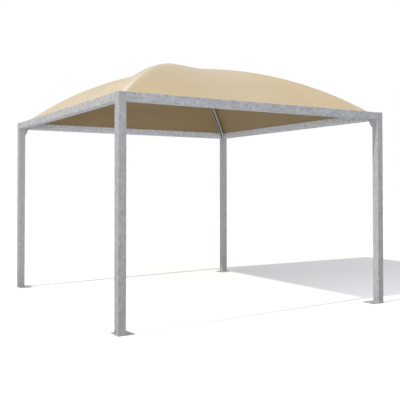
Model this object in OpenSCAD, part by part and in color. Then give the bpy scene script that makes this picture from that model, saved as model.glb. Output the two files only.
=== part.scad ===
// Square garden pavilion: four square steel posts and a ring of square beams carry two
// crossing pairs of round bows, over which one fabric canopy is stretched.
// Millimetres, +Z up. The origin is the middle of the plan, at the floor.
// Front is -Y and left is -X.

/* [Frame] */
// Outer side of the square frame
side = 4000; // [3000:50:5000]
// Height of the top of the ring beams above the floor
ring_top = 2640; // [2200:10:3000]
// Outer width of the square tube of posts and beams
tube_w = 100; // [80:1:120]
// Wall thickness of the square tube
tube_t = 4; // [3:0.5:6]
// Outer corner radius of the square tube
tube_r = 8; // [7:0.5:12]
// Diameter of the half round vent in the underside of a beam, where it meets a post
vent_d = 14; // [8:1:20]
// Distance of that vent from the outer face of the beam
vent_in = 38; // [30:1:45]

/* [Feet] */
// Side of the square base plate
plate_w = 200; // [180:1:260]
// Thickness of the base plate
plate_t = 10; // [6:1:20]
// Diameter of an anchor hole
anchor_d = 14; // [9:1:22]
// Distance of an anchor hole from the free edges of the plate
anchor_in = 45; // [25:1:48]
// Width of the drain slot at the foot of a post
drain_w = 20; // [10:1:30]
// Length of the drain slot
drain_l = 45; // [32:1:60]
// Gap between the base plate and the drain slot
drain_up = 12; // [5:1:40]
// Distance of the drain slot from the middle of the post's wall
drain_off = 16; // [0:1:20]

/* [Bows] */
// Outer diameter of the bow tube
bow_d = 60.3; // [48:0.1:64]
// Wall thickness of the bow tube
bow_t = 2.9; // [2:0.1:4]
// Gap between the tops of the bows and the underside of the crown
bow_gap = 7; // [6:0.5:30]
// Gap between the foot of the bow and the ring's inner corner
foot_gap = 6.5; // [5:0.5:30]
// Depth of the bow's foot below the top of the ring beams
foot_drop = 68; // [60:1:75]

/* [Bow brackets] */
// Thickness of the bracket plate
bracket_t = 8; // [5:1:12]
// How far the bracket hangs below the beams
bracket_drop = 95; // [60:1:140]
// How far the bracket stands out from the post under the beams
bracket_reach = 54; // [45:1:70]
// Width of the bracket's lower tip
bracket_tip = 14; // [8:1:24]
// Distance along the bow, from its foot to where the bracket's outer edge meets it
knee_up = 32; // [25:1:50]
// Depth of the tongue that reaches up inside the bow
tongue_w = 36; // [30:1:40]
// Length of the tongue inside the bow
tongue_l = 120; // [110:1:160]
// Clearance on each side of the bracket in the slot of the bow
slot_gap = 0.5; // [0.3:0.1:1]
// Thread diameter of the bow bolts
bolt_d = 12; // [8:1:16]
// Clearance of a bolt in its hole, on the diameter
bolt_gap = 1; // [0.5:0.1:2]
// Distance from the foot of the bow to the first bolt
bolt_first = 38; // [32:1:45]
// Distance between the two bolts
bolt_pitch = 50; // [40:1:55]

/* [Crown hub] */
// Width of the square hub between the bows
hub_w = 90; // [70:1:120]
// Thickness of the hub's walls and top
hub_t = 5; // [3:0.5:8]
// How far the hub reaches below the bows
hub_below = 15; // [5:1:40]
// Gap between the corners of the hub and the canopy that lies on them
hub_gap = 0.3; // [0.2:0.1:2]

/* [Canopy] */
// Thickness of the canopy
canopy_t = 3; // [2:0.5:6]
// Rise above the ring beams that the ridges would reach at the crown, if they weren't rounded
canopy_rise = 748; // [600:1:900]
// How the ridges curve: 2 is a parabola, more is steeper at the corners
ridge_power = 2.23; // [1.8:0.01:2.6]
// Width over which a ridge is rounded, at the corners
ridge_round = 52; // [20:1:120]
// How much wider the rounding of a ridge becomes, from the corners to the crown
ridge_widening = 444; // [0:1:600]
// How far a panel sags below the ridges, where it is deepest
panel_sag = 84; // [0:1:150]
// How the sag fades towards the crown: 1 is straight, more fades out softly
sag_fade = 1.5; // [1:0.1:2.5]
// How the sag fades towards the ridges: 1 is a parabola, more keeps it to the middle
sag_shape = 1.44; // [1:0.02:2.5]

/* [Edge rails] */
// Width of the rail that holds the edge of the canopy
rail_w = 24; // [18:1:40]
// Height of the rail
rail_h = 10; // [8:1:20]

/* [Hidden] */
$fn = 48;
half = side / 2;
// Half of the frame's diagonal: plan distance from an outer corner to the middle
reach = half * sqrt(2);
clear_height = ring_top - tube_w;
// Plan distances from the outer corner, along the diagonal, at which a post and the ring end
post_edge = (tube_w - tube_r) * sqrt(2) + tube_r;
ring_edge = tube_w * sqrt(2) + bracket_t / 2;
bow_r = bow_d / 2;
// Rise of the bow's centre line above the ring beams, and plan distance of its foot from the
// outer corner; the radius to which it is rolled follows from both
bow_rise = canopy_rise - canopy_t - bow_gap - bow_r;
bow_foot = tube_w * sqrt(2) + bow_r + foot_gap;
bow_radius = (pow(reach - bow_foot, 2) + pow(bow_rise + foot_drop, 2)) / (2 * (bow_rise + foot_drop));
foot_angle = asin((reach - bow_foot) / bow_radius);
bolt_head_w = 1.5 * bolt_d;
bolt_head_h = 0.65 * bolt_d;
canopy_edge = (rail_h + canopy_t) / 2;
canopy_in = tube_w - tube_r;
panel_rows = 17;
panel_columns = 16;
// How far a cutting shape reaches past what it cuts
cut = 1;

// Point at an angle from the top of the bow and a distance from its centre of curvature:
// plan distance from the outer corner, and height above the ring beams
function bow_point(angle, radius) = [
    reach - radius * sin(angle),
    bow_rise - bow_radius + radius * cos(angle)
];

// Angle at a length along the bow, measured up from its foot
function angle_up(length) = foot_angle - length / bow_radius * 180 / PI;

// Height of a ridge above the ring beams, at a share of the way from the beams to the crown
function ridge_height(share) =
    canopy_edge + (canopy_rise - canopy_edge) * (1 - pow(1 - share, ridge_power));

// Share of the way from the beams to the crown, at a distance from the nearest side
function share_at(in) = max(0, (in - tube_w) / (half - tube_w));

// Height of the canopy above the ring beams: in is the distance from the nearest side of the
// frame, across is 0 in the middle of a panel and 1 at a ridge
function canopy_height(in, across) =
    let (
        rounding = ridge_round + ridge_widening * in / half,
        shoulder = max(0, rounding - (half - in) * (1 - abs(across))),
        rounded = in - pow(shoulder, 2) / (4 * rounding),
        share = share_at(in),
        deepest = 1 / (1 + sag_fade),
        fade = share / deepest * pow((1 - share) / (1 - deepest), sag_fade)
    )
    ridge_height(share_at(rounded)) - panel_sag * fade * pow(1 - across * across, sag_shape);

// Distance of each row of panel points from the side of the frame, from the edge to the crown
function row_in(i) = i == 0 ? canopy_in : tube_w + (half - tube_w) * (i - 1) / (panel_rows - 1);

// Place of each column of panel points, from ridge to ridge, closer together at the ridges
function column_across(j) = sin(90 * (2 * j / panel_columns - 1));

// Puts a piece drawn in the front left corner, with the outer corner at the origin and the
// frame towards +X and +Y, into another corner
module at_corner(right, back) {
    translate([right * half, back * half, 0])
        mirror([right > 0 ? 1 : 0, 0, 0])
            mirror([0, back > 0 ? 1 : 0, 0])
                children();
}

// Puts a piece drawn for the front side onto another side, by a turn about the middle
module on_side(angle) {
    rotate([0, 0, angle]) children();
}

// Turns a flat outline, drawn as distance along the diagonal and height above the ring
// beams, upright into the diagonal of the front left corner
module in_diagonal(thickness) {
    rotate([0, 0, 45])
        translate([0, 0, ring_top])
            rotate([90, 0, 0])
                linear_extrude(thickness, center = true) children();
}

// Square with rounded corners, its lower left corner at the origin
module rounded_square(width, radius) {
    translate([radius, 0]) square([width - 2 * radius, width]);
    translate([0, radius]) square([width, width - 2 * radius]);
    for (x = [radius, width - radius], y = [radius, width - radius])
        translate([x, y]) circle(radius);
}

// Cross-section of the square tube
module tube_section() {
    difference() {
        rounded_square(tube_w, tube_r);
        translate([tube_t, tube_t]) rounded_square(tube_w - 2 * tube_t, tube_r - tube_t);
    }
}

// Long hole through a post's outer wall, near its foot
module drain_slot() {
    middle = plate_t + drain_up + drain_l / 2;
    straight = drain_l - drain_w;
    translate([tube_t / 2, tube_w / 2 + drain_off, middle]) rotate([0, 90, 0]) {
        for (end = [-1, 1])
            translate([end * straight / 2, 0, 0])
                cylinder(h = tube_t + 2 * cut, d = drain_w, center = true);
        cube([straight, drain_w, tube_t + 2 * cut], center = true);
    }
}

// Post: square tube from the base plate to the top of the ring, closed on top
module post() {
    color("silver") {
        difference() {
            translate([0, 0, plate_t]) linear_extrude(ring_top - tube_t - plate_t) tube_section();
            drain_slot();
        }
        translate([0, 0, ring_top - tube_t]) linear_extrude(tube_t) rounded_square(tube_w, tube_r);
    }
}

// Base plate, flush with the two outer faces of the post
module base_plate() {
    far = plate_w - anchor_in;
    color("silver")
        difference() {
            cube([plate_w, plate_w, plate_t]);
            for (spot = [[far, anchor_in], [far, far], [anchor_in, far]])
                translate([spot[0], spot[1], -cut])
                    cylinder(h = plate_t + 2 * cut, d = anchor_d);
        }
}

// Beam of the front side: square tube between two posts, with a half round vent at each end
module beam() {
    length = side - 2 * tube_w;
    color("silver")
        translate([-length / 2, -half, clear_height])
            difference() {
                rotate([90, 0, 90]) linear_extrude(length) tube_section();
                for (x = [0, length])
                    translate([x, vent_in, -cut])
                        cylinder(h = tube_t + 2 * cut, d = vent_d);
            }
}

// Outline of the bow bracket: a gusset under the beams, and a tongue that enters the bow
module bracket_outline() {
    steps = 8;
    tongue_end = angle_up(tongue_l);
    upper = bow_radius + tongue_w / 2;
    lower = bow_radius - tongue_w / 2;
    knee = angle_up(knee_up);
    polygon(concat(
        [
            [post_edge, -tube_w],
            [post_edge, -tube_w - bracket_drop],
            [post_edge + bracket_tip, -tube_w - bracket_drop],
            [post_edge + bracket_reach, -tube_w]
        ],
        [for (i = [0:steps]) bow_point(knee + (tongue_end - knee) * i / steps, lower)],
        [for (i = [0:steps]) bow_point(tongue_end + (foot_angle - tongue_end) * i / steps, upper)],
        [
            [ring_edge, bow_point(foot_angle, upper)[1]],
            [ring_edge, -tube_w]
        ]
    ));
}

// Axes of the two bolts through bow and bracket
module at_bolts() {
    for (i = [0:1]) {
        place = bow_point(angle_up(bolt_first + i * bolt_pitch), bow_radius);
        rotate([0, 0, 45])
            translate([place[0], 0, ring_top + place[1]])
                rotate([90, 0, 0]) children();
    }
}

// Bow bracket, welded to the inner edge of the post
module bow_bracket() {
    color("silver")
        difference() {
            in_diagonal(bracket_t) bracket_outline();
            at_bolts() cylinder(h = 2 * bracket_t, d = bolt_d + bolt_gap, center = true);
        }
}

// Half bow: round tube rolled to an arc, from its slotted foot to the flat face of the hub
module bow() {
    color("silver")
        difference() {
            rotate([0, 0, 45])
                translate([reach, 0, ring_top + bow_rise - bow_radius])
                    rotate([90, 0, 0])
                        rotate([0, 0, 90])
                            rotate_extrude(angle = foot_angle, $fn = 360)
                                translate([bow_radius, 0])
                                    difference() {
                                        circle(bow_r);
                                        circle(bow_r - bow_t);
                                    }
            in_diagonal(bracket_t + 2 * slot_gap) bracket_outline();
            at_bolts() cylinder(h = bow_d + 2 * cut, d = bolt_d + bolt_gap, center = true);
            translate([half, half, ring_top + bow_rise]) rotate([0, 0, 45])
                cube([hub_w, 2 * bow_d, 2 * bow_d], center = true);
        }
}

// Two hexagon bolts with nuts, clamping the bow on the bracket's tongue
module bow_bolts() {
    color("gainsboro")
        at_bolts() {
            cylinder(h = bow_d + 2 * bolt_head_h, d = bolt_d, center = true);
            for (end = [-1, 1])
                translate([0, 0, end * (bow_r + bolt_head_h / 2)])
                    cylinder(h = bolt_head_h, d = bolt_head_w / cos(30), center = true, $fn = 6);
        }
}

// Hub: short square tube, closed on top, its four faces square to the bows
module crown_hub() {
    bottom = bow_rise - bow_r - hub_below;
    top = canopy_height(half - hub_w / sqrt(2), 0) - canopy_t - hub_gap;
    color("silver")
        translate([0, 0, ring_top])
            rotate([0, 0, 45])
                difference() {
                    translate([0, 0, bottom]) linear_extrude(top - bottom)
                        square(hub_w, center = true);
                    translate([0, 0, bottom - cut]) linear_extrude(top - hub_t - bottom + cut)
                        square(hub_w - 2 * hub_t, center = true);
                }
}

// Rail of the front side, on top of the beam, with mitred ends
module edge_rail() {
    outer = half - canopy_in + rail_w;
    inner = half - canopy_in;
    color("silver")
        translate([0, 0, ring_top])
            linear_extrude(rail_h)
                polygon([[-outer, -outer], [outer, -outer], [inner, -inner], [-inner, -inner]]);
}

// Canopy panel of the front side, from the rail up to the crown
module canopy_panel() {
    rows = panel_rows;
    columns = panel_columns;
    width = columns + 1;
    top = [
        for (i = [0:rows - 1], j = [0:columns])
            let (in = row_in(i), across = column_across(j))
                [across * (half - in), in - half, ring_top + canopy_height(in, across)]
    ];
    apex = [0, 0, ring_top + canopy_height(half, 0)];
    under = [for (p = concat(top, [apex])) p - [0, 0, canopy_t]];
    points = concat(top, [apex], under);
    tip = rows * width;
    below = tip + 1;
    last = tip - width;
    color("tan")
        polyhedron(points, concat(
            [for (i = [0:rows - 2], j = [0:columns - 1], k = [0:1])
                let (a = i * width + j)
                    k == 0 ? [a, a + width, a + 1] : [a + 1, a + width, a + width + 1]],
            [for (j = [0:columns - 1]) [last + j, tip, last + j + 1]],
            [for (i = [0:rows - 2], j = [0:columns - 1], k = [0:1])
                let (a = below + i * width + j)
                    k == 0 ? [a, a + 1, a + width] : [a + 1, a + width + 1, a + width]],
            [for (j = [0:columns - 1]) [below + last + j, below + last + j + 1, below + tip]],
            [for (j = [0:columns - 1]) [j, j + 1, below + j + 1, below + j]],
            [for (i = [0:rows - 2])
                let (a = i * width) [a, below + a, below + a + width, a + width]],
            [for (i = [0:rows - 2])
                let (a = i * width + columns) [a, a + width, below + a + width, below + a]],
            [[last, below + last, below + tip, tip]],
            [[last + columns, tip, below + tip, below + last + columns]]
        ));
}

at_corner(-1, -1) post();  // post_front_left
at_corner(1, -1) post();  // post_front_right
at_corner(-1, 1) post();  // post_back_left
at_corner(1, 1) post();  // post_back_right
at_corner(-1, -1) base_plate();  // base_plate_front_left
at_corner(1, -1) base_plate();  // base_plate_front_right
at_corner(-1, 1) base_plate();  // base_plate_back_left
at_corner(1, 1) base_plate();  // base_plate_back_right
on_side(0) beam();  // beam_front
on_side(180) beam();  // beam_back
on_side(-90) beam();  // beam_left
on_side(90) beam();  // beam_right
at_corner(-1, -1) bow_bracket();  // bow_bracket_front_left
at_corner(1, -1) bow_bracket();  // bow_bracket_front_right
at_corner(-1, 1) bow_bracket();  // bow_bracket_back_left
at_corner(1, 1) bow_bracket();  // bow_bracket_back_right
at_corner(-1, -1) bow();  // bow_front_left
at_corner(1, -1) bow();  // bow_front_right
at_corner(-1, 1) bow();  // bow_back_left
at_corner(1, 1) bow();  // bow_back_right
at_corner(-1, -1) bow_bolts();  // bow_bolts_front_left
at_corner(1, -1) bow_bolts();  // bow_bolts_front_right
at_corner(-1, 1) bow_bolts();  // bow_bolts_back_left
at_corner(1, 1) bow_bolts();  // bow_bolts_back_right
crown_hub();
on_side(0) edge_rail();  // edge_rail_front
on_side(180) edge_rail();  // edge_rail_back
on_side(-90) edge_rail();  // edge_rail_left
on_side(90) edge_rail();  // edge_rail_right
on_side(0) canopy_panel();  // canopy_front
on_side(180) canopy_panel();  // canopy_back
on_side(-90) canopy_panel();  // canopy_left
on_side(90) canopy_panel();  // canopy_right
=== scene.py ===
import math

import bmesh
import bpy
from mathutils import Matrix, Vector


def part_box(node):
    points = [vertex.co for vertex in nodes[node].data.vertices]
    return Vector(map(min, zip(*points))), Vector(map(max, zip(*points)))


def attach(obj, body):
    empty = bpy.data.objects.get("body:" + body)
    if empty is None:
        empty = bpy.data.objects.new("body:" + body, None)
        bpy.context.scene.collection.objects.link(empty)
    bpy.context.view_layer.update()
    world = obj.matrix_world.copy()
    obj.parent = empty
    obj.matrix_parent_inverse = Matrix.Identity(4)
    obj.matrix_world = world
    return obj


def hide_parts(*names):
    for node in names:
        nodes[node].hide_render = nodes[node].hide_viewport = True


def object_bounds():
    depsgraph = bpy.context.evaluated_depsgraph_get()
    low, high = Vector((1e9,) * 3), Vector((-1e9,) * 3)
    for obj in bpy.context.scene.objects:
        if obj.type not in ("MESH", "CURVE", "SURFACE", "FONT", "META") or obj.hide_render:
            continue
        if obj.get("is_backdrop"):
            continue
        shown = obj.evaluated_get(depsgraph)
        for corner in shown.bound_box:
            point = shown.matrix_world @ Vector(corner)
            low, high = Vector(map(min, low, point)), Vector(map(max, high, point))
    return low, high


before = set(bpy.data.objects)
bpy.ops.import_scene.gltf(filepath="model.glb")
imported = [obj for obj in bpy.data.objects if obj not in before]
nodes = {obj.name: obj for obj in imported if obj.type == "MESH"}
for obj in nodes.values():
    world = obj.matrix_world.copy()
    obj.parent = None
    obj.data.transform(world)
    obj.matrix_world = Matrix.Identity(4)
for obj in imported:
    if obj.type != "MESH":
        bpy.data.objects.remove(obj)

cad_low, cad_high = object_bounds()

# ---- Camera ------------------------------------------------------------------------------
# A person stands off the front left corner and looks across the pavilion at eye height.
# The view is framed a little off centre, by a small shift.

eye_height = 1.594
eye_left_of_middle = 4.786
eye_in_front_of_middle = 8.285
tilt_up = 1.0
turn_right = 30.0

camera_data = bpy.data.cameras.new("camera")
camera_data.sensor_width = 36.0
camera_data.lens = 57.3
camera_data.shift_x = 0.035
camera_data.shift_y = -0.058
camera = bpy.data.objects.new("camera", camera_data)
camera.location = (-eye_left_of_middle, -eye_in_front_of_middle, eye_height)
camera.rotation_euler = (math.radians(90 + tilt_up), 0, math.radians(-turn_right))
bpy.context.collection.objects.link(camera)
bpy.context.scene.camera = camera
bpy.context.scene.view_settings.view_transform = "Standard"

# ---- Light and ground --------------------------------------------------------------------
# Low afternoon sun from the left under an even pale sky. A wide low lamp off the front left
# corner lights the faces that look that way, and a soft one at floor level stands for the
# light that pale paving throws up under the canopy.


def linear(hex_colour):
    """The linear colour, with alpha, of an sRGB hex value such as "#c8b68c"."""
    parts = [int(hex_colour[i:i + 2], 16) / 255 for i in (1, 3, 5)]
    return [c / 12.92 if c <= 0.04045 else ((c + 0.055) / 1.055) ** 2.4 for c in parts] + [1.0]


def add(tree, kind, links=(), **settings):
    """Adds a node. links are (input, node, output); settings name an input or a property."""
    made = tree.nodes.new("ShaderNode" + kind)
    for name, value in settings.items():
        socket = made.inputs.get(name.replace("_", " "))
        if socket is None or hasattr(made, name):
            setattr(made, name, value)
        else:
            socket.default_value = value
    for socket, source, output in links:
        tree.links.new(source.outputs[output], made.inputs[socket])
    return made


sun_height = 32.0
sun_forward = 5.4
sun_data = bpy.data.lights.new("sun", "SUN")
sun_data.energy = 1.62
sun_data.color = linear("#fff1e0")[:3]
sun_data.angle = math.radians(1.0)
sun = bpy.data.objects.new("sun", sun_data)
sun.rotation_euler = (0, math.radians(sun_height - 90), math.radians(sun_forward))
bpy.context.collection.objects.link(sun)

fill_distance = 20.0
fill_height = 1.3
fill_turn = 40.0
fill_tilt = 92.0
fill_data = bpy.data.lights.new("low fill", "AREA")
fill_data.shape = "RECTANGLE"
fill_data.size = 8.0
fill_data.size_y = 2.0
fill_data.energy = 985.0
fill_data.color = linear("#f2f6ff")[:3]
fill = bpy.data.objects.new("low fill", fill_data)
fill_along, fill_across = math.cos(math.radians(fill_turn)), math.sin(math.radians(fill_turn))
fill.location = (-fill_distance * fill_across, -fill_distance * fill_along, fill_height)
fill.rotation_euler = (math.radians(fill_tilt), 0, math.radians(-fill_turn))
fill.visible_camera = False
bpy.context.collection.objects.link(fill)

floor_glow_size = 3.4
floor_glow_height = 0.02
glow_data = bpy.data.lights.new("light off the floor", "AREA")
glow_data.size = floor_glow_size
glow_data.energy = 35.5
glow_data.color = linear("#e2ecff")[:3]
floor_glow = bpy.data.objects.new("light off the floor", glow_data)
floor_glow.location = (0.0, 0.0, floor_glow_height)
floor_glow.rotation_euler = (math.pi, 0, 0)
floor_glow.visible_camera = False
bpy.context.collection.objects.link(floor_glow)

sky_strength = 0.65
sky = bpy.data.worlds.new("pale sky")
sky.use_nodes = True
bpy.context.scene.world = sky
tree = sky.node_tree
tree.nodes.clear()
ray = add(tree, "LightPath")
seen = add(tree, "Math", [(0, ray, "Is Camera Ray"), (1, ray, "Is Glossy Ray")], operation="MAXIMUM")
seen = add(tree, "Math", [(0, seen, 0), (1, ray, "Is Transmission Ray")], operation="MAXIMUM")
strength = add(tree, "MapRange", [("Value", seen, 0)], To_Min=sky_strength, To_Max=1.0)
shade = add(tree, "Background", [("Strength", strength, 0)], Color=(1, 1, 1, 1))
add(tree, "OutputWorld", [("Surface", shade, 0)])

# The ground is plain and pale. Its shading leans towards the sun, so that it is white in
# sunlight and keeps a clear shadow. The shadow grows paler towards the front left.
ground_reach = 60.0
bounced_tone = 0.41
sun_lean = 45.0
towards_front_left = (-0.5, -0.866, 0.0)
paling_start, paling_end = -4.0, 2.9
glow_start, glow_end = 0.19, 0.57

ground_mesh = bpy.data.meshes.new("ground")
ground_corners = [(-ground_reach, -ground_reach), (ground_reach, -ground_reach),
                  (ground_reach, ground_reach), (-ground_reach, ground_reach)]
ground_mesh.from_pydata([(x, y, 0) for x, y in ground_corners], [], [(0, 1, 2, 3)])
ground = bpy.data.objects.new("ground", ground_mesh)
bpy.context.collection.objects.link(ground)
ground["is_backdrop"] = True
pale = bpy.data.materials.new("pale ground")
pale.use_nodes = True
tree = pale.node_tree
tree.nodes.clear()
ray = add(tree, "LightPath")
seen = add(tree, "Math", [(0, ray, "Is Camera Ray"), (1, ray, "Is Glossy Ray")], operation="MAXIMUM")
seen = add(tree, "Math", [(0, seen, 0), (1, ray, "Is Transmission Ray")], operation="MAXIMUM")
dull = add(tree, "BsdfDiffuse", Color=(bounced_tone, bounced_tone, bounced_tone, 1))
lean = math.radians(sun_lean)
leaning = add(tree, "CombineXYZ", X=-math.sin(lean), Y=0.0, Z=math.cos(lean))
bright = add(tree, "BsdfDiffuse", [("Normal", leaning, 0)], Color=linear("#fcfdff"))
place = add(tree, "TexCoord")
nearness = add(tree, "VectorMath", [(0, place, "Object")], operation="DOT_PRODUCT")
nearness.inputs[1].default_value = towards_front_left
paling = add(tree, "MapRange", [("Value", nearness, "Value")], From_Min=paling_start,
             From_Max=paling_end, To_Min=glow_start, To_Max=glow_end,
             interpolation_type="SMOOTHSTEP")
glow = add(tree, "Emission", [("Strength", paling, 0)], Color=linear("#f4f6ff"))
lit = add(tree, "AddShader", [(0, bright, 0), (1, glow, 0)])
shade = add(tree, "MixShader", [("Fac", seen, 0), (1, dull, 0), (2, lit, 0)])
add(tree, "OutputMaterial", [("Surface", shade, 0)])
ground_mesh.materials.append(pale)

# ---- Posts and base plates ---------------------------------------------------------------
# Square tube of mild steel, cold formed, welded to a square foot plate and dipped as one
# piece in molten zinc. The zinc is dull, with soft clouds and a faint spangle of crystals,
# and is made paler on the foot plates, which lie in the light thrown up by the paving.

# Each corner's side of the middle, as (right, back)
corners = {"front_left": (-1, -1), "front_right": (1, -1), "back_left": (-1, 1), "back_right": (1, 1)}
half = cad_high.x
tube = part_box("post_front_left")[1].x + half
ring_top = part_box("post_front_left")[1].z
plate_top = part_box("base_plate_front_left")[1].z
corner_radius = 0.008
# Painted shade: the zinc is darkened from this height down to the ground
painted_shade_top = 2.4
painted_shade_at_foot = 0.85


def galvanised(name, stretch, tones, inner_gain):
    """Hot-dip galvanised steel: a dull zinc coat, with soft clouds drawn out along the tube.

    stretch draws the clouds out along an axis, and tones are their dark, middle and pale.
    Faces that look into the pavilion are made paler by inner_gain. This stands for the light
    that the paving and the canopy throw on them. All faces are darkened slowly towards the
    ground, a painted shade."""
    metal = bpy.data.materials.new(name)
    metal.use_nodes = True
    tree = metal.node_tree
    shader = tree.nodes["Principled BSDF"]
    place = add(tree, "TexCoord")
    along = add(tree, "Mapping", [("Vector", place, "Object")], Scale=stretch)
    clouds_per_metre = 1000 / 38
    crystals_per_metre = 1000 / 14
    grains_per_metre = 1000 / 5
    clouds = add(tree, "TexNoise", [("Vector", along, 0)], Scale=clouds_per_metre, Detail=5.0,
                 Roughness=0.62, Distortion=0.4)
    crystals = add(tree, "TexVoronoi", [("Vector", place, "Object")], Scale=crystals_per_metre)
    grains = add(tree, "TexNoise", [("Vector", place, "Object")], Scale=grains_per_metre, Detail=3.0)
    crystal = add(tree, "SeparateColor", [("Color", crystals, "Color")])
    facet = add(tree, "MapRange", [("Value", crystal, 0)], To_Min=-0.08, To_Max=0.08)
    tone = add(tree, "Math", [(0, clouds, "Fac"), (1, facet, 0)], operation="ADD")
    colour = add(tree, "ValToRGB", [("Fac", tone, 0)])
    colour.color_ramp.elements[0].position = 0.34
    colour.color_ramp.elements[0].color = linear(tones[0])
    colour.color_ramp.elements[1].position = 0.66
    colour.color_ramp.elements[1].color = linear(tones[2])
    middle = colour.color_ramp.elements.new(0.5)
    middle.color = linear(tones[1])
    outward = add(tree, "VectorMath", [(0, place, "Object")], operation="MULTIPLY")
    outward.inputs[1].default_value = (1.0, 1.0, 0.0)
    facing = add(tree, "VectorMath", [(0, outward, 0), (1, place, "Normal")], operation="DOT_PRODUCT")
    inward = add(tree, "MapRange", [("Value", facing, "Value")], From_Min=0.0, From_Max=-half,
                 To_Max=1.0)
    paler = add(tree, "Mix", [("Factor", inward, 0), (6, colour, 0)], data_type="RGBA",
                blend_type="MULTIPLY")
    paler.inputs[7].default_value = (inner_gain, inner_gain, inner_gain, 1)
    # Painted shade, darker towards the ground
    place_parts = add(tree, "SeparateXYZ", [(0, place, "Object")])
    painted_foot_shade = add(tree, "MapRange", [("Value", place_parts, 2)], From_Max=painted_shade_top,
                  To_Min=painted_shade_at_foot)
    foot_shaded_colour = add(tree, "VectorMath", [(0, paler, 2), ("Scale", painted_foot_shade, 0)], operation="SCALE")
    dullness = add(tree, "MapRange", [("Value", crystal, 1)], To_Min=0.6, To_Max=0.72)
    relief = add(tree, "Bump", [("Height", grains, "Fac")], Strength=0.25, Distance=0.0004)
    shader.inputs["Metallic"].default_value = 0.25
    shader.inputs["Specular IOR Level"].default_value = 0.2
    tree.links.new(foot_shaded_colour.outputs[0], shader.inputs["Base Color"])
    tree.links.new(dullness.outputs[0], shader.inputs["Roughness"])
    tree.links.new(relief.outputs[0], shader.inputs["Normal"])
    return metal


def coat(material, names):
    """Gives CAD nodes their finish."""
    for name in names:
        nodes[name].material_slots[0].material = material


upright_zinc = galvanised("hot-dip galvanised steel, upright", stretch=(1.0, 1.0, 0.8),
                          tones=("#a3a6aa", "#aeb0b3", "#b9bbbe"), inner_gain=1.13)
coat(upright_zinc, ["post_" + corner for corner in corners])
plate_zinc = galvanised("hot-dip galvanised steel plate", stretch=(1.0, 1.0, 1.0),
                        tones=("#bfc2c6", "#cbcdd1", "#d6d8db"), inner_gain=1.03)
coat(plate_zinc, ["base_plate_" + corner for corner in corners])

# ---- Ring beams --------------------------------------------------------------------------
# The same square tube, welded between the posts at their tops. The clouds of the zinc run
# along each beam. The inner faces are made much paler, for the light thrown on them by the
# canopy and the paving.

crosswise_zinc = galvanised("hot-dip galvanised steel, crosswise", stretch=(0.75, 1.0, 1.0),
                            tones=("#a1a5ab", "#b3b6bb", "#c0c3c8"), inner_gain=1.6)
lengthwise_zinc = galvanised("hot-dip galvanised steel, lengthwise", stretch=(1.0, 0.75, 1.0),
                             tones=("#a4a7ac", "#b6b8bc", "#c3c5c9"), inner_gain=1.5)
coat(crosswise_zinc, ["beam_front", "beam_back"])
coat(lengthwise_zinc, ["beam_left", "beam_right"])

# ---- Welds -------------------------------------------------------------------------------
# Each beam is welded to its posts all round, and each post to its foot plate. The seams on
# the outer faces are ground flush before dipping; those inside and underneath keep their
# ripple. The seam under a beam stops at the vent that lets the zinc run out.

fillet_leg = 0.006
fillet_crown = 0.0012
flush_crown = 0.0003
flush_reach = 0.004
groove_overlap = 0.001
groove_root = 0.003
root_depth = 0.0005
ripple_share = 0.25
ripple_pitch = 0.0034
station_gap = 0.0011
vent_inset = 0.038
vent_half_width = 0.0085


def piece(name, points, faces, material, slot):
    """A mesh piece of the pavilion, smooth but for its sharp edges. It rides with the one body."""
    mesh = bpy.data.meshes.new(name)
    mesh.from_pydata(points, [], faces)
    mesh.materials.append(material)
    shape = bmesh.new()
    shape.from_mesh(mesh)
    bmesh.ops.recalc_face_normals(shape, faces=shape.faces)
    shape.to_mesh(mesh)
    shape.free()
    mesh.shade_smooth()
    mesh.set_sharp_from_angle(angle=math.radians(40))
    made = bpy.data.objects.new(name, mesh)
    bpy.context.collection.objects.link(made)
    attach(made, "root")
    return made


def swept(stations, closed=False):
    """Points and faces of a solid that runs through a list of closed outlines."""
    count = len(stations[0])
    points = [point for outline in stations for point in outline]
    faces = []
    for i in range(len(stations) if closed else len(stations) - 1):
        a, b = i * count, (i + 1) % len(stations) * count
        faces += [(a + k, a + (k + 1) % count, b + (k + 1) % count, b + k) for k in range(count)]
    if not closed:
        faces += [tuple(reversed(range(count))), tuple(range(len(points) - count, len(points)))]
    return points, faces


def joined(parts):
    """One list of points and one of faces from several."""
    points, faces = [], []
    for more_points, more_faces in parts:
        faces += [tuple(len(points) + i for i in face) for face in more_faces]
        points += more_points
    return points, faces


def square_loop(width, radius, gap):
    """Stations round a square with rounded corners: (x, y, outward x, outward y)."""
    straight = width - 2 * radius
    arc = radius * math.pi / 2
    loop = []
    for side in range(4):
        turn = side * math.pi / 2
        steps = round(straight / gap)
        flat = [(-straight / 2 + straight * i / steps, -width / 2, 0.0) for i in range(steps)]
        steps = round(arc / gap)
        bends = [i / steps * math.pi / 2 for i in range(steps)]
        bend = [(straight / 2 + radius * math.sin(t), -straight / 2 - radius * math.cos(t), t)
                for t in bends]
        for x, y, t in flat + bend:
            loop.append((x * math.cos(turn) - y * math.sin(turn),
                         x * math.sin(turn) + y * math.cos(turn),
                         math.sin(t + turn), -math.cos(t + turn)))
    return loop


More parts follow.
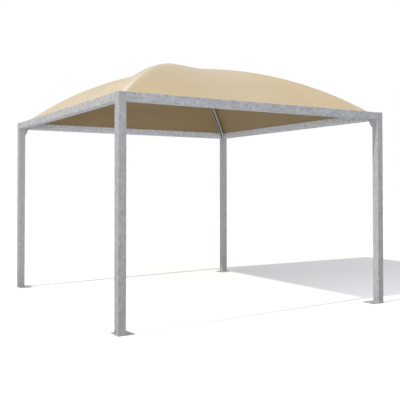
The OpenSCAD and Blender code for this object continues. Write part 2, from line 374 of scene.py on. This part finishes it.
def bead(loop, fillet_share):
    """A weld round a tube's end, in (along the tube, out from its face) at each station.

    A share of 1 is a fillet in the corner between tube and post. A share of 0 is a seam that
    fills the groove of the post's rounded edge and is ground flush."""
    outlines = []
    for i, (x, y, out_x, out_y) in enumerate(loop):
        share = fillet_share(out_x, out_y)
        flush = 1 - share
        wave = ripple_share * math.sin(2 * math.pi * i * station_gap / ripple_pitch)
        crown = flush_crown + share * fillet_crown * (1 + wave)
        start = (-share * root_depth - flush * (corner_radius + groove_overlap),
                 share * fillet_leg - flush * root_depth)
        end = (share * fillet_leg + flush * flush_reach, -root_depth)
        profile = [(-share * root_depth - flush * groove_overlap,
                    -share * root_depth - flush * groove_root)]
        for k in range(5):
            t = k / 4
            bulge = crown * 4 * t * (1 - t) + flush * (crown + root_depth) * min(1, 8 * t * (1 - t))
            profile.append((start[0] + t * (end[0] - start[0]) + bulge * share * 0.7,
                            start[1] + t * (end[1] - start[1]) + bulge * (0.7 if share > 0.5 else 1.0)))
        outlines.append([(along, x + out * out_x, y + out * out_y) for along, out in profile])
    return outlines


def beam_weld(mirror_x, mirror_y, swap):
    """The weld at one end of a beam, moved to its place in the ring."""
    loop = square_loop(tube, corner_radius, station_gap)
    # Round the beam's end, x runs inwards from its outer face and y runs up
    vent_x = vent_inset - tube / 2
    under = [k for k, (x, y, out_x, out_y) in enumerate(loop)
             if out_y < -0.99 and abs(x - vent_x) < vent_half_width]
    first, last = under[-1] + 1, under[0]
    run = loop[first:] + loop[:last]
    outlines = bead(run, lambda ox, oy: max(0.0, 1 - 2 * abs(ox)) if oy < 0 else 0.0)
    stations = []
    for outline in outlines:
        moved = []
        for along, across, height in outline:
            x = mirror_x * (-half + tube + along)
            y = mirror_y * (-half + tube / 2 + across)
            z = ring_top - tube / 2 + height
            moved.append((y, x, z) if swap else (x, y, z))
        stations.append(moved)
    return swept(stations)


def foot_weld(sx, sy):
    """The weld round the foot of a post: a fillet on its two inner sides, flush outside."""
    loop = square_loop(tube, corner_radius, station_gap)
    outlines = bead(loop, lambda ox, oy: max(0.0, 1 + 2 * min(0.0, ox, oy)))
    return swept([[(sx * (-half + tube / 2 + a), sy * (-half + tube / 2 + b), plate_top + along)
                   for along, a, b in outline] for outline in outlines], closed=True)


for corner, (right, back) in corners.items():
    parts = [beam_weld(-right, -back, False), beam_weld(-back, -right, True), foot_weld(-right, -back)]
    piece("weld_" + corner, *joined(parts), upright_zinc, "galvanised_steel")

# ---- Bow brackets ------------------------------------------------------------------------
# A plate, cut to shape and welded upright into each inner corner of the ring. Its lower part
# is a gusset on the post, its upper part a tongue inside the slotted end of the bow.

plate_thickness = 0.008
ripple_height = 0.0003
weld_start = 0.001
weld_up_ring = 0.030
taper_length = 0.004
taper_start = 0.35
gusset_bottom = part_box("bow_bracket_front_left")[0].z
post_edge = (tube - corner_radius) * math.sqrt(2) + corner_radius
ring_edge = tube * math.sqrt(2)
coat(upright_zinc, ["bow_bracket_" + corner for corner in corners])


def on_diagonal(right, back, along, aside, z):
    """A point at a distance along the diagonal from an outer corner, and aside from it."""
    x = -half + (along - aside) / math.sqrt(2)
    y = -half + (along + aside) / math.sqrt(2)
    return (-right * x, -back * y, z)


def gusset_weld(right, back, hand, edge, low, high):
    """A fillet down one side of the bracket, from the plate to the face of post or beam."""
    side = plate_thickness / 2
    steps = round((high - low) / station_gap)
    outlines = []
    for i in range(steps + 1):
        wave = ripple_height * math.sin(2 * math.pi * i * station_gap / ripple_pitch)
        from_end = min(i, steps - i) * station_gap
        leg = fillet_leg * min(1.0, taper_start + (1 - taper_start) * from_end / taper_length)
        profile = [(edge - 0.004, side - 0.001), (edge + leg, side - root_depth),
                   (edge + 0.7 * leg + wave, side + 0.3 * leg + wave),
                   (edge + 0.2 * leg + wave, side + 0.65 * leg + wave),
                   (edge - 0.35 * leg + wave, side + 0.9 * leg),
                   (edge - 0.004 - 0.6 * leg, side + 1.1 * leg)]
        z = low + (high - low) * i / steps
        outlines.append([on_diagonal(right, back, along, hand * aside, z) for along, aside in profile])
    return swept(outlines)


beam_bottom = ring_top - tube
for corner, (right, back) in corners.items():
    parts = []
    for hand in (-1, 1):
        parts.append(gusset_weld(right, back, hand, post_edge, gusset_bottom,
                                 beam_bottom - weld_start))
        parts.append(gusset_weld(right, back, hand, ring_edge, beam_bottom + weld_start,
                                 beam_bottom + weld_up_ring))
    piece("gusset_weld_" + corner, *joined(parts), upright_zinc, "galvanised_steel")

# ---- Bows --------------------------------------------------------------------------------
# Round steel tube, 60.3 mm thick, rolled to an arc and slotted at its foot. It is zinc coated
# at the mill, so it is smoother and brighter than the dipped frame. A dark band is painted
# along its underside: a painted reflection of dark surroundings, and painted shade.

bow_diameter = 0.0603
bow_radius = bow_diameter / 2
bow_wall = 0.0029
foot_gap = 0.0065
foot_drop = 0.068
slot_width = 0.009
slot_length = 0.034
hub_overlap = 0.0005
tube_sides = 52
arc_steps = 90
bow_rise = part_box("bow_front_left")[1].z - ring_top - bow_radius
diagonal = half * math.sqrt(2)
bow_foot = tube * math.sqrt(2) + bow_radius + foot_gap
bow_run = diagonal - bow_foot
bow_height = bow_rise + foot_drop
bend_radius = (bow_run ** 2 + bow_height ** 2) / (2 * bow_height)
foot_angle = math.asin(bow_run / bend_radius)
bend_middle = ring_top + bow_rise - bend_radius
hub_low, hub_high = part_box("crown_hub")
hub_half = (hub_high.x - hub_low.x) / 2 / math.sqrt(2)
hub_angle = math.asin((hub_half - hub_overlap) / bend_radius)
# Half width of the dark band painted along each bow's underside, a painted reflection and shade
dark_band_half_width = 0.014

mill_zinc = bpy.data.materials.new("mill-galvanised steel tube")
mill_zinc.use_nodes = True
tree = mill_zinc.node_tree
shader = tree.nodes["Principled BSDF"]
place = add(tree, "TexCoord")
streaks_per_metre = 1000 / 30
streaks = add(tree, "TexNoise", [("Vector", place, "Object")], Scale=streaks_per_metre,
              Detail=4.0, Roughness=0.6)
colour = add(tree, "ValToRGB", [("Fac", streaks, "Fac")])
colour.color_ramp.elements[0].position = 0.35
colour.color_ramp.elements[0].color = linear("#cccecf")
colour.color_ramp.elements[1].position = 0.65
colour.color_ramp.elements[1].color = linear("#e3e4e4")
gloss = add(tree, "MapRange", [("Value", streaks, "Fac")], To_Min=0.36, To_Max=0.46)
shader.inputs["Metallic"].default_value = 0.65
# The dark band along the underside is a painted reflection and shade, with ragged edges
painted_dark_band = add(tree, "Attribute", attribute_name="painted_dark_band")
ragged = add(tree, "Math", [(0, streaks, "Fac"), (2, painted_dark_band, "Fac")], operation="MULTIPLY_ADD")
ragged.inputs[1].default_value = 0.25
dark_band_share = add(tree, "MapRange", [("Value", ragged, 0)], From_Min=0.55, From_Max=0.70)
dark_banded_colour = add(tree, "Mix", [("Factor", dark_band_share, 0), (6, colour, 0)], data_type="RGBA")
dark_banded_colour.inputs[7].default_value = linear("#1d1e20")
tree.links.new(dark_banded_colour.outputs[2], shader.inputs["Base Color"])
tree.links.new(gloss.outputs[0], shader.inputs["Roughness"])


def bow_tube(right, back):
    """The slotted tube of one bow, from its foot to the hub: points, faces and painted band shares."""
    slot_turn = math.asin(slot_width / 2 / bow_radius)
    rest_turn = 2 * math.pi - 2 * slot_turn
    around = [slot_turn + rest_turn * k / tube_sides for k in range(tube_sides + 1)]
    around += [slot_turn * (k / 2 - 1) for k in (1, 2, 3)]
    count = len(around)
    in_slot = set(range(tube_sides, count))
    slot_angle = foot_angle - slot_length / bend_radius
    angles = [foot_angle, slot_angle]
    angles += [slot_angle + (hub_angle - slot_angle) * i / arc_steps for i in range(1, arc_steps + 1)]
    points, dark_band_shares = [], []
    for angle in angles:
        for radius in (bow_radius, bow_radius - bow_wall):
            for turn in around:
                aside = bow_radius * abs((turn + math.pi) % (2 * math.pi) - math.pi)
                dark_band_shares.append(max(0.0, 1 - 0.5 * (aside / dark_band_half_width) ** 2))
                out = bend_radius - radius * math.cos(turn)
                points.append(on_diagonal(right, back, diagonal - out * math.sin(angle),
                                          radius * math.sin(turn), bend_middle + out * math.cos(angle)))
    faces = []
    for k in range(count):
        after = (k + 1) % count
        first = 1 if k in in_slot else 0
        for i in range(first, len(angles) - 1):
            a, b = 2 * count * i, 2 * count * (i + 1)
            faces.append((a + k, a + after, b + after, b + k))
            faces.append((a + count + after, a + count + k, b + count + k, b + count + after))
        for i in (first, len(angles) - 1):
            a = 2 * count * i
            faces.append((a + k, a + after, a + count + after, a + count + k))
    for k in (0, tube_sides):
        faces.append((k, 2 * count + k, 3 * count + k, count + k))
    return points, faces, dark_band_shares


for corner, (right, back) in corners.items():
    points, faces, dark_band_shares = bow_tube(right, back)
    bow = piece("bow_tube_" + corner, points, faces, mill_zinc, "galvanised_steel")
    bow.data.attributes.new("painted_dark_band", "FLOAT", "POINT").data.foreach_set("value", dark_band_shares)
    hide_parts("bow_" + corner)

# ---- Bow bolts ---------------------------------------------------------------------------
# Two M12 hexagon bolts through each bow and its bracket, with washers and nuts, all zinc
# plated. Heads and nuts are chamfered, and the thread stands a little out of the nut.

bolt_radius = 0.006
head_inner_radius = 0.75 * 2 * bolt_radius
head_height = 0.65 * 2 * bolt_radius
chamfer_angle = math.radians(30)
bolt_first = 0.038
bolt_pitch = 0.050
thread_pitch = 0.00175
thread_depth = 0.0007
thread_gap = 0.0004
tip_length = 0.0008
tip_depth = 0.0016
washer_bore = 0.0065
washer_radius = 0.012
washer_thickness = 0.0025
washer_rounding = 0.0004
washer_edge = 0.0005
seat_gap = 0.0005

# The plating is thin and even: a clean light grey with a soft shine
plated = bpy.data.materials.new("zinc-plated steel")
plated.use_nodes = True
tree = plated.node_tree
shader = tree.nodes["Principled BSDF"]
place = add(tree, "TexCoord")
film_per_metre = 1000 / 6
film = add(tree, "TexNoise", [("Vector", place, "Object")], Scale=film_per_metre, Detail=3.0)
colour = add(tree, "ValToRGB", [("Fac", film, "Fac")])
colour.color_ramp.elements[0].position = 0.3
colour.color_ramp.elements[0].color = linear("#b3b5b4")
colour.color_ramp.elements[1].position = 0.7
colour.color_ramp.elements[1].color = linear("#cdcfd2")
shader.inputs["Metallic"].default_value = 0.9
shader.inputs["Roughness"].default_value = 0.32
tree.links.new(colour.outputs[0], shader.inputs["Base Color"])


def turned(profile, steps):
    """Outlines of a turned solid, from (distance along the axis, radius) pairs."""
    turns = [2 * math.pi * k / steps for k in range(steps)]
    return [[(along, radius * math.cos(t), radius * math.sin(t)) for t in turns]
            for along, radius in profile]


def hexagon(start, height):
    """A chamfered hexagon head or nut, from start outwards along the axis."""
    steps = 36
    chamfer_radius = head_inner_radius * 0.97
    outlines = [[], [], []]
    for k in range(steps):
        turn = 2 * math.pi * k / steps
        from_flat = (turn + math.pi / 6) % (math.pi / 3) - math.pi / 6
        radius = head_inner_radius / math.cos(from_flat)
        top = height - (radius - chamfer_radius) * math.tan(chamfer_angle)
        for outline, along, r in zip(outlines, (0.0, top, height), (radius, radius, chamfer_radius)):
            outline.append((start + along, r * math.cos(turn), r * math.sin(turn)))
    return outlines


def bolt():
    """Outlines of the five solids of a bolt: head, nut, two washers and the threaded shank."""
    seat = bow_radius + seat_gap
    outside = seat + washer_thickness
    flat_radius = washer_radius - washer_edge
    washer = turned([(seat, washer_bore), (seat, flat_radius), (seat + washer_rounding, washer_radius),
                     (outside - washer_rounding, washer_radius), (outside, flat_radius),
                     (outside, washer_bore)], 32)
    head = hexagon(outside, head_height)
    thread = [(outside + head_height + thread_gap + thread_pitch * k / 2,
               bolt_radius - thread_depth * (k % 2)) for k in range(4)]
    tip = (thread[-1][0] + tip_length, bolt_radius - tip_depth)
    shank = turned([(-outside - head_height / 2, bolt_radius)] + thread + [tip], 24)
    nut = [[(-along, y, z) for along, y, z in outline] for outline in head]
    nut_washer = [[(-along, y, z) for along, y, z in outline] for outline in washer]
    return [head, nut, washer, nut_washer, shank]


for corner, (right, back) in corners.items():
    parts = []
    for i in range(2):
        angle = foot_angle - (bolt_first + i * bolt_pitch) / bend_radius
        along = diagonal - bend_radius * math.sin(angle)
        height = bend_middle + bend_radius * math.cos(angle)
        for outlines in bolt():
            parts.append(swept([[on_diagonal(right, back, along + u, aside, height + v)
                                 for aside, u, v in outline] for outline in outlines]))
    bolts = piece("bolts_" + corner, *joined(parts), plated, "zinc_plated_steel")
    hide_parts("bow_bolts_" + corner)

# ---- Crown hub ---------------------------------------------------------------------------
# A short square tube, closed on top, in which the four bows meet. Each bow is welded to its
# face all round.

coat(upright_zinc, ["crown_hub"])
hub_weld_steps = 110
parts = []
for right, back in corners.values():
    outlines = []
    for i in range(hub_weld_steps):
        turn = 2 * math.pi * i / hub_weld_steps
        wave = ripple_height * math.sin(2 * math.pi * turn * bow_radius / ripple_pitch)
        profile = [(0.001, -0.001), (-0.0045, -0.0005), (-0.0030 - wave, 0.0016 + wave),
                   (-0.0016 - wave, 0.0030 + wave), (0.0005, 0.0045)]
        outline = []
        for along, out in profile:
            radius = bow_radius + out
            outline.append(on_diagonal(right, back, diagonal - hub_half + along,
                                       radius * math.cos(turn),
                                       ring_top + bow_rise + radius * math.sin(turn)))
        outlines.append(outline)
    parts.append(swept(outlines, closed=True))
piece("hub_welds", *joined(parts), upright_zinc, "galvanised_steel")

# ---- Edge rails --------------------------------------------------------------------------
# Extruded aluminium rails, screwed to the tops of the beams and mitred at the corners. The
# cord sewn into the canopy's edge runs in the round groove, and the sheet leaves by its slot.

rail_low, rail_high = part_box("edge_rail_front")
rail_outer = -rail_low.y
rail_height = rail_high.z - ring_top
rail_inner = tube - corner_radius
groove_in = 0.0075
groove_radius = 0.0038
slot_half = 0.0012
lip = 0.0002
flange = 0.0022
bevel = 0.0008
screw_spacing = 0.3
screw_from_end = 0.06
screw_in = 0.0042

# The metal is as it left the press: pale, silky and faintly uneven
bare = bpy.data.materials.new("mill-finish aluminium")
bare.use_nodes = True
tree = bare.node_tree
shader = tree.nodes["Principled BSDF"]
place = add(tree, "TexCoord")
grain_per_metre = 1000 / 9
drawn = add(tree, "TexNoise", [("Vector", place, "Object")], Scale=grain_per_metre,
            Detail=3.0, Roughness=0.55)
colour = add(tree, "ValToRGB", [("Fac", drawn, "Fac")])
colour.color_ramp.elements[0].position = 0.3
colour.color_ramp.elements[0].color = linear("#b9b9b7")
colour.color_ramp.elements[1].position = 0.7
colour.color_ramp.elements[1].color = linear("#cfcfcc")
shader.inputs["Metallic"].default_value = 1.0
shader.inputs["Roughness"].default_value = 0.38
tree.links.new(colour.outputs[0], shader.inputs["Base Color"])


def rail_outline():
    """The rail's section: (distance from the frame's outer face, height above the beam)."""
    outer = half - rail_outer
    middle = rail_height / 2
    groove = rail_inner - groove_in
    opening = math.asin(slot_half / groove_radius)
    arc = [opening + (2 * math.pi - 2 * opening) * i / 20 for i in range(21)]
    section = [(outer, lip), (rail_inner, lip), (rail_inner, middle - slot_half)]
    section += [(groove + groove_radius * math.cos(t), middle - groove_radius * math.sin(t))
                for t in arc]
    section += [(rail_inner, middle + slot_half), (rail_inner, rail_height - bevel),
                (rail_inner - bevel, rail_height), (groove - 0.0035, rail_height),
                (groove - 0.0052, rail_height - 0.0015), (groove - 0.0056, flange + 0.0004),
                (outer, flange)]
    return section


sides = {"front": 0, "right": 90, "back": 180, "left": -90}
for side, turn in sides.items():
    c, s = round(math.cos(math.radians(turn))), round(math.sin(math.radians(turn)))
    parts = [swept([[((end * (half - inset)) * c + (half - inset) * s,
                      (end * (half - inset)) * s - (half - inset) * c, ring_top + z)
                     for inset, z in rail_outline()] for end in (-1, 1)])]
    run = 2 * (rail_outer - screw_from_end)
    count = round(run / screw_spacing)
    for i in range(count + 1):
        x = -run / 2 + run * i / count
        y = -rail_outer + screw_in
        head = [(0.0020, 0.0034), (0.0034, 0.0034), (0.0042, 0.0028), (0.0045, 0.0016)]
        parts.append(swept([[((x + a) * c - (y + b) * s, (x + a) * s + (y + b) * c, ring_top + up)
                             for up, a, b in outline] for outline in turned(head, 20)]))
    rail = piece("rail_" + side, *joined(parts), bare, "aluminium")
    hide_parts("edge_rail_" + side)

# ---- Canopy ------------------------------------------------------------------------------
# One sheet of sand-coloured PVC-coated polyester, cut in four panels that are welded
# together over the bows. It is stretched from the rails over the bows to the hub, so the
# ridges are rounded, tight at the corners and broad at the crown, and the panels sag a little.

ridge_rise = 0.748
ridge_power = 2.23
ridge_round = 0.052
ridge_widening = 0.444
panel_sag = 0.084
sag_fade = 1.5
sag_shape = 1.44
sheet_thickness = 0.0009
half_panel = 0.0015
seam_half_width = 0.020
seam_step = 0.0007
step_slope = 0.0005
hem_width = 0.030
slot_height = 0.005
tuck = 0.0075
# The pale strip painted along each ridge is a painted highlight
highlight_sharp_side = 0.018
highlight_soft_side = 0.080
highlight_full = 0.1
highlight_top = 1.2


def share_at(inset):
    """Share of the way from the beams to the crown, at a distance from the frame's side."""
    return min(1.0, max(0.0, (inset - tube) / (half - tube)))


def canopy_height(inset, off_ridge):
    """Height above the beams, at a distance from the frame's side and from the ridge.

    It is the middle of the solid panels, which are twice half_panel thick."""
    rounding = ridge_round + ridge_widening * inset / half
    shoulder = max(0.0, rounding - off_ridge)
    rounded = share_at(inset - shoulder ** 2 / (4 * rounding))
    edge = slot_height + half_panel
    ridge = edge + (ridge_rise - edge) * (1 - (1 - rounded) ** ridge_power)
    share = share_at(inset)
    deepest = 1 / (1 + sag_fade)
    fade = share / deepest * ((1 - share) / (1 - deepest)) ** sag_fade
    across = 1 - off_ridge / max(half - inset, 1e-9)
    return ridge - panel_sag * fade * max(0.0, 1 - across ** 2) ** sag_shape - half_panel


def smooth_step(low, high, value):
    """0 below low, 1 above high, and a soft turn between them."""
    t = min(1.0, max(0.0, (value - low) / (high - low)))
    return t * t * (3 - 2 * t)


# Distances from the ridge, along the row, at which each half row has a point. Further columns
# and rows of points lie closer together near the ridges and near the beams.
seam_edge = seam_half_width * math.sqrt(2)
step_margin = 0.0007
near_ridge = [0.0, 0.007, 0.014, 0.021, seam_edge - step_margin, seam_edge + step_margin,
              0.036, 0.046, 0.060, 0.078, 0.1]
columns = 30
column_crowding = 1.35
rows = 76
row_crowding = 1.15
squeezed_below = 0.35
last_ring = 0.012


def half_row(run):
    """Distances from the ridge to the middle of a panel, on a row of this half length."""
    squeeze = min(1.0, run / squeezed_below)
    near = [offset * squeeze for offset in near_ridge]
    rest = [near[-1] + (run - near[-1]) * (i / columns) ** column_crowding
            for i in range(1, columns + 1)]
    return near + rest


def ring(inset):
    """One closed ring of points round the canopy, with each point's distance from a ridge.

    The distance is negative where the next ridge round the ring is the nearer one."""
    run = half - inset
    offsets = half_row(run)
    row = [(-run + offset, offset) for offset in offsets]
    row += [(run - offset, -offset) for offset in offsets[-2:0:-1]]
    points = []
    for turn in range(4):
        c, s = round(math.cos(turn * math.pi / 2)), round(math.sin(turn * math.pi / 2))
        for x, offset in row:
            past_seam = smooth_step(seam_edge - step_slope, seam_edge + step_slope, abs(offset))
            past_hem = smooth_step(hem_edge - step_slope, hem_edge + step_slope, inset)
            doubled = 1 - min(past_seam, past_hem)
            z = ring_top + canopy_height(inset, abs(offset)) + seam_step * doubled
            points.append(((x * c + run * s, x * s - run * c, z), offset))
    return points


hem_edge = rail_inner + hem_width
insets = [rail_inner - tuck, rail_inner, tube, (tube + hem_edge) / 2,
          hem_edge - 0.0006, hem_edge + 0.0006]
insets += [hem_edge + (half - hem_edge - last_ring) * (i / rows) ** row_crowding
           for i in range(1, rows + 1)]
rings = [ring(inset) for inset in insets]
for ring_points in rings[:2]:
    for i, ((x, y, z), offset) in enumerate(ring_points):
        ring_points[i] = ((x, y, ring_top + slot_height), offset)
count = len(rings[0])
points = [point for ring_points in rings for point, offset in ring_points]
highlight_offsets = [offset for ring_points in rings for point, offset in ring_points]
points.append((0.0, 0.0, ring_top + canopy_height(half, 0.0) + seam_step))
highlight_offsets.append(0.0)
faces = []
for i in range(len(rings) - 1):
    a, b = i * count, (i + 1) * count
    faces += [(a + k, a + (k + 1) % count, b + (k + 1) % count, b + k) for k in range(count)]
last = (len(rings) - 1) * count
faces += [(last + k, last + (k + 1) % count, len(points) - 1) for k in range(count)]


def coated_cloth(name, dark, pale, highlight_colour, through, clear_share, roughness):
    """PVC-coated polyester: a soft satin coat, in which the weave of the yarns just shows.

    Some of the light goes through the sheet and comes out warmer. Along the ridges a paler
    strip is painted, a painted highlight, and the coat is glossier there."""
    cloth = bpy.data.materials.new(name)
    cloth.use_nodes = True
    tree = cloth.node_tree
    shader = tree.nodes["Principled BSDF"]
    output = tree.nodes["Material Output"]
    place = add(tree, "TexCoord")
    # The yarns are 1 mm apart, which is too fine to show: they are drawn four times as coarse
    yarn_pitch = 0.004
    stains_per_metre = 1000 / 600
    mottle_per_metre = 1000 / 25
    turns = add(tree, "VectorMath", [(0, place, "Object")], operation="SCALE",
                Scale=math.pi / yarn_pitch)
    split = add(tree, "SeparateXYZ", [(0, turns, 0)])
    warp = add(tree, "Math", [(0, split, 0)], operation="SINE")
    weft = add(tree, "Math", [(0, split, 1)], operation="SINE")
    weave = add(tree, "Math", [(0, warp, 0), (1, weft, 0)], operation="MULTIPLY")
    slow = add(tree, "TexNoise", [("Vector", place, "Object")], Scale=stains_per_metre, Detail=3.0)
    fine = add(tree, "TexNoise", [("Vector", place, "Object")], Scale=mottle_per_metre, Detail=4.0)
    both = add(tree, "Math", [(0, fine, "Fac"), (2, slow, "Fac")], operation="MULTIPLY_ADD")
    both.inputs[1].default_value = 0.3
    colour = add(tree, "ValToRGB", [("Fac", both, 0)])
    colour.color_ramp.elements[0].position = 0.45
    colour.color_ramp.elements[0].color = linear(dark)
    colour.color_ramp.elements[1].position = 0.85
    colour.color_ramp.elements[1].color = linear(pale)
    # Painted highlight: a paler colour along the ridges
    painted_ridge_highlight = add(tree, "Attribute", attribute_name="painted_ridge_highlight")
    highlighted_colour = add(tree, "Mix", [("Factor", painted_ridge_highlight, "Fac"), (6, colour, 0)], data_type="RGBA")
    highlighted_colour.inputs[7].default_value = linear(highlight_colour)
    shader.inputs["Specular IOR Level"].default_value = 0.3
    satin = add(tree, "MapRange", [("Value", painted_ridge_highlight, "Fac")], To_Min=roughness,
                To_Max=roughness - 0.12)
    relief = add(tree, "Bump", [("Height", weave, 0)], Strength=0.12, Distance=0.0003)
    glowing = add(tree, "BsdfTranslucent", [("Normal", relief, 0)], Color=linear(through))
    mixed = add(tree, "MixShader", [(1, shader, 0), (2, glowing, 0)])
    mixed.inputs["Fac"].default_value = clear_share
    tree.links.new(highlighted_colour.outputs[2], shader.inputs["Base Color"])
    tree.links.new(satin.outputs[0], shader.inputs["Roughness"])
    tree.links.new(relief.outputs[0], shader.inputs["Normal"])
    tree.links.new(mixed.outputs[0], output.inputs["Surface"])
    return cloth


face_cloth = coated_cloth("PVC-coated polyester, sand", dark="#dcc9a1", pale="#e1cfa9",
                          highlight_colour="#faf2ea", through="#ecd6a8", clear_share=0.18,
                          roughness=0.28)
# The underside is the same cloth, painted much darker than the face: a painted shade
painted_shade_underside_cloth = coated_cloth("PVC-coated polyester, underside", dark="#917f5d", pale="#9b8962",
                          highlight_colour="#95835e", through="#cbb684", clear_share=0.20,
                          roughness=0.55)
canopy = piece("canopy", points, faces, face_cloth, "canopy_fabric")
canopy.data.materials.append(painted_shade_underside_cloth)
# The painted highlight along a ridge is sharp on one side and fades out softly on the other
painted_ridge_highlight = canopy.data.attributes.new("painted_ridge_highlight", "FLOAT", "POINT")
for i, (point, offset) in enumerate(zip(points, highlight_offsets)):
    up = half - max(abs(point[0]), abs(point[1]))
    low = 1 - smooth_step(highlight_full, highlight_top, up)
    width = highlight_sharp_side if offset > 0 else highlight_sharp_side + highlight_soft_side * low ** 3
    painted_ridge_highlight.data[i].value = math.exp(-(offset / width) ** 2) * low ** 0.7
solid = canopy.modifiers.new("thickness", "SOLIDIFY")
solid.thickness = sheet_thickness
solid.offset = -1.0
solid.material_offset = 1
solid.material_offset_rim = 0
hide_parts(*["canopy_" + side for side in ("front", "back", "left", "right")])

low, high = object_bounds()
